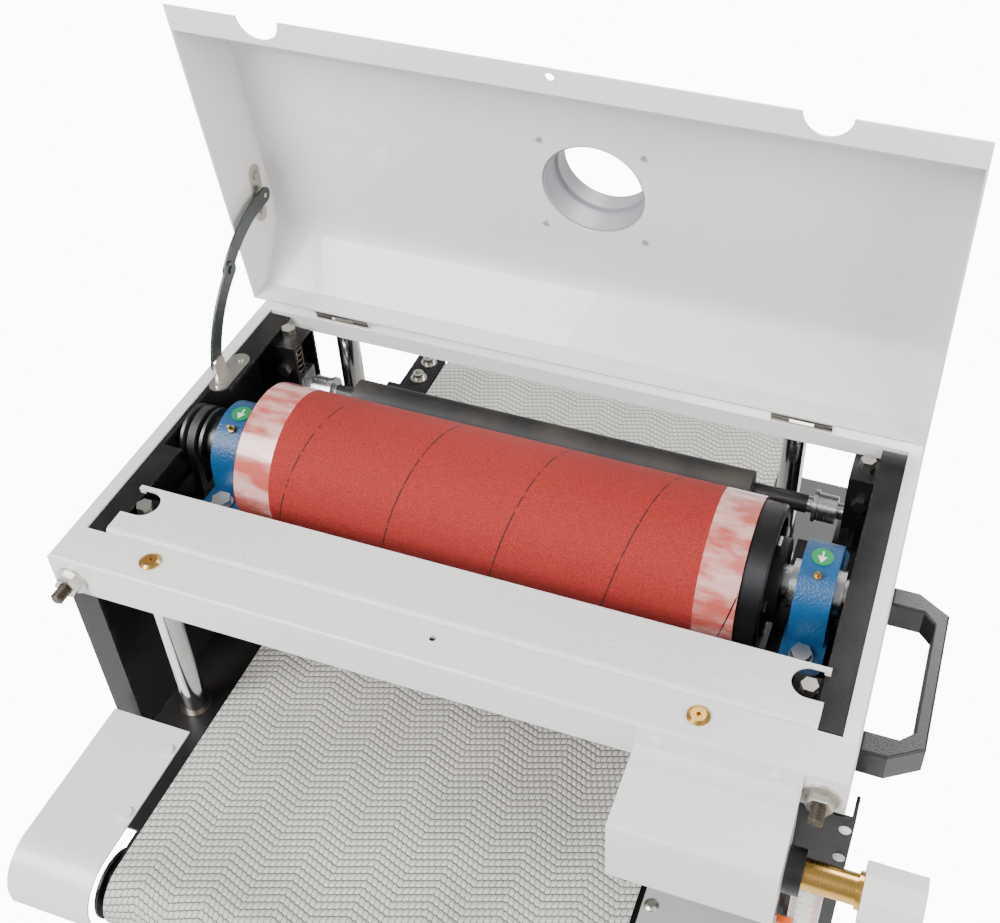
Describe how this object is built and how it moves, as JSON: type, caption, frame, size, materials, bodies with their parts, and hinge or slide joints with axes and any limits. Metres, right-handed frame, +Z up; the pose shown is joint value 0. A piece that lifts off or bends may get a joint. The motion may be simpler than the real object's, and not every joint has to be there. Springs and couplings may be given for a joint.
{
  "type": "drum sander",
  "caption": "Closed-stand drum sander: open lid with a dust port over an abrasive drum in a white head, belt-fed table raised by screws on posts, motor inside the cabinet",
  "frame": {"origin": "on the floor, under the drum axis, midway between the left wall and the end of the feed knob", "axes": "+Z up, +X along the drum to the side with the handle and the feed knob, -Y towards the operator and the infeed side"},
  "size_m": [0.7742, 0.772, 1.4244],
  "materials": {
    "white_paint": "smooth off-white enamel",
    "textured_white": "white powder coat with fine texture",
    "grey_paint": "satin grey enamel",
    "black_paint": "semi-gloss black enamel",
    "black_plastic": "moulded black plastic",
    "chrome_steel": "ground and polished",
    "bright_steel": "turned steel",
    "zinc": "zinc plated",
    "dark_steel": "black oxide",
    "stay_paint": "dark green-black enamel",
    "brass": "turned brass",
    "blue_paint": "blue enamel on cast iron",
    "drum_black": "black anodised",
    "pulley_iron": "dark cast iron",
    "abrasive": "red-brown abrasive cloth",
    "belt_rubber": "black rubber",
    "feed_belt": "light grey belt with a nubbed herringbone face",
    "foot_rubber": "rubber pad on steel stud",
    "white_plastic": "white plastic",
    "pipe_grey": "grey enamel",
    "scale_white": "printed scale strip",
    "orange_plastic": "orange pointer",
    "green_plastic": "green button",
    "red_plastic": "red button"
  },
  "bodies": {
    "stand": {"base_cabinet": "white_paint", "levelling_feet": "foot_rubber", "side_columns": "black_paint", "head_frame": "white_paint", "left_side_rail": "black_paint", "right_side_rail": "black_paint", "front_strip": "textured_white", "guide_posts": "chrome_steel", "post_plugs": "brass", "corner_studs": "dark_steel", "zinc_fasteners": "zinc", "corner_brackets": "black_paint", "side_handle": "black_plastic", "scale_plate": "black_paint", "height_scale": "scale_white", "trim_screws": "white_plastic", "control_box": "white_paint", "pillow_blocks": "blue_paint", "drive_motor": "black_paint", "v_belt": "belt_rubber", "power_inlet": "black_plastic", "switch_box": "black_plastic", "lift_chain": "bright_steel", "rear_hardware": "zinc", "front_pressure_springs": "dark_steel", "rear_pressure_springs": "dark_steel"},
    "drum": {"drum_shaft": "bright_steel", "drum_core": "drum_black", "abrasive_wrap": "abrasive", "wrap_clips": "chrome_steel", "drum_pulley": "pulley_iron"},
    "rotor": {"motor_rotor": "bright_steel"},
    "knob": {"feed_knob_sleeve": "brass", "feed_knob": "white_plastic"},
    "start": {"start_button": "green_plastic"},
    "stop": {"stop_button": "red_plastic"},
    "front_carriage": {"front_pressure_carriage": "bright_steel"},
    "front_roll": {"front_pressure_roller": "belt_rubber"},
    "rear_carriage": {"rear_pressure_carriage": "bright_steel"},
    "rear_roll": {"rear_pressure_roller": "belt_rubber"},
    "table": {"table_frame": "black_paint", "conveyor_belt": "feed_belt", "lift_bushes": "dark_steel", "left_table_cover": "white_paint", "right_table_cover": "grey_paint", "table_screws": "zinc", "gear_motor": "black_paint", "height_pointer": "orange_plastic"},
    "drive_roll": {"drive_roller": "bright_steel"},
    "idle_roll": {"idle_roller": "bright_steel"},
    "left_screw": {"left_lead_screw": "bright_steel"},
    "right_screw": {"right_lead_screw": "bright_steel"},
    "wheel": {"handwheel": "bright_steel"},
    "grip": {"handwheel_grip": "black_plastic"},
    "lid": {"lid_pan": "white_paint", "dust_port": "pipe_grey", "lid_hardware": "zinc"},
    "lower_arm": {"stay_lower_arm": "stay_paint"},
    "upper_arm": {"stay_upper_arm": "stay_paint"},
    "door": {"cabinet_door": "white_paint"}
  },
  "joints": [
    {"name": "drum_spin", "type": "hinge", "parent": "stand", "child": "drum", "pos_m": [-0.03515, 0, 1.034], "axis": [1, 0, 0], "continuous": true},
    {"name": "motor_spin", "type": "hinge", "parent": "stand", "child": "rotor", "pos_m": [-0.35315, 0, 0.3], "axis": [1, 0, 0], "continuous": true},
    {"name": "feed_speed_turn", "type": "hinge", "parent": "stand", "child": "knob", "pos_m": [0.31485, -0.238, 0.986], "axis": [1, 0, 0], "range_deg": [0, 300]},
    {"name": "start_press", "type": "slide", "parent": "stand", "child": "start", "axis": [0, 1, 0], "range_m": [0, 0.004], "stiffness_N_per_m": 800, "springref_m": -0.002},
    {"name": "stop_press", "type": "slide", "parent": "stand", "child": "stop", "axis": [0, 1, 0], "range_m": [0, 0.004], "stiffness_N_per_m": 800, "springref_m": -0.002},
    {"name": "front_pressure_lift", "type": "slide", "parent": "stand", "child": "front_carriage", "axis": [0, 0, 1], "range_m": [0, 0.004], "stiffness_N_per_m": 20000, "springref_m": -0.002, "deforming": ["front_pressure_springs"]},
    {"name": "front_pressure_spin", "type": "hinge", "parent": "front_carriage", "child": "front_roll", "pos_m": [-0.05215, -0.122, 0.985], "axis": [1, 0, 0], "continuous": true},
    {"name": "rear_pressure_lift", "type": "slide", "parent": "stand", "child": "rear_carriage", "axis": [0, 0, 1], "range_m": [0, 0.004], "stiffness_N_per_m": 20000, "springref_m": -0.002, "deforming": ["rear_pressure_springs"]},
    {"name": "rear_pressure_spin", "type": "hinge", "parent": "rear_carriage", "child": "rear_roll", "pos_m": [-0.05215, 0.146, 0.985], "axis": [1, 0, 0], "continuous": true},
    {"name": "table_lift", "type": "slide", "parent": "stand", "child": "table", "axis": [0, 0, 1], "range_m": [-0.01, 0.1]},
    {"name": "drive_roller_spin", "type": "hinge", "parent": "table", "child": "drive_roll", "pos_m": [-0.05215, -0.35, 0.828], "axis": [1, 0, 0], "continuous": true},
    {"name": "idle_roller_spin", "type": "hinge", "parent": "table", "child": "idle_roll", "pos_m": [-0.05215, 0.354, 0.828], "axis": [1, 0, 0], "continuous": true},
    {"name": "left_screw_turn", "type": "hinge", "parent": "stand", "child": "left_screw", "pos_m": [-0.30015, -0.005, 0.7], "axis": [0, 0, 1], "range_deg": [-901, 9001]},
    {"name": "right_screw_turn", "type": "hinge", "parent": "stand", "child": "right_screw", "pos_m": [0.19585, -0.005, 0.7], "axis": [0, 0, 1], "range_deg": [-901, 9001]},
    {"name": "handwheel_turn", "type": "hinge", "parent": "stand", "child": "wheel", "pos_m": [0.19585, -0.252, 0.505], "axis": [0, 1, 0], "range_deg": [-901, 9001]},
    {"name": "grip_spin", "type": "hinge", "parent": "wheel", "child": "grip", "pos_m": [0.26785, -0.28, 0.505], "axis": [0, 1, 0], "continuous": true},
    {"name": "lid_hinge", "type": "hinge", "parent": "stand", "child": "lid", "pos_m": [-0.03515, 0.175, 1.07], "axis": [1, 0, 0], "range_deg": [0, 82.2]},
    {"name": "stay_foot_turn", "type": "hinge", "parent": "stand", "child": "lower_arm", "pos_m": [-0.37315, 0.064, 1.07], "axis": [1, 0, 0], "range_deg": [0, 103]},
    {"name": "stay_head_turn", "type": "hinge", "parent": "lid", "child": "upper_arm", "pos_m": [-0.37615, 0.202, 1.183], "axis": [1, 0, 0], "range_deg": [-100.8, 0]},
    {"name": "door_hinge", "type": "hinge", "parent": "stand", "child": "door", "pos_m": [-0.33115, -0.207, 0.28], "axis": [0, 0, -1], "range_deg": [0, 100]}
  ],
  "couplings": [
    {"joint": "motor_spin", "follows": "drum_spin", "ratio": 0.837},
    {"joint": "idle_roller_spin", "follows": "drive_roller_spin", "ratio": 1},
    {"joint": "left_screw_turn", "follows": "table_lift", "rad_per_m": 1570.8},
    {"joint": "right_screw_turn", "follows": "table_lift", "rad_per_m": 1570.8},
    {"joint": "handwheel_turn", "follows": "table_lift", "rad_per_m": 1570.8},
    {"joint": "stay_foot_turn", "follows": "lid_hinge", "ratio": 1.2509},
    {"joint": "stay_head_turn", "follows": "lid_hinge", "ratio": -1.2235}
  ]
}
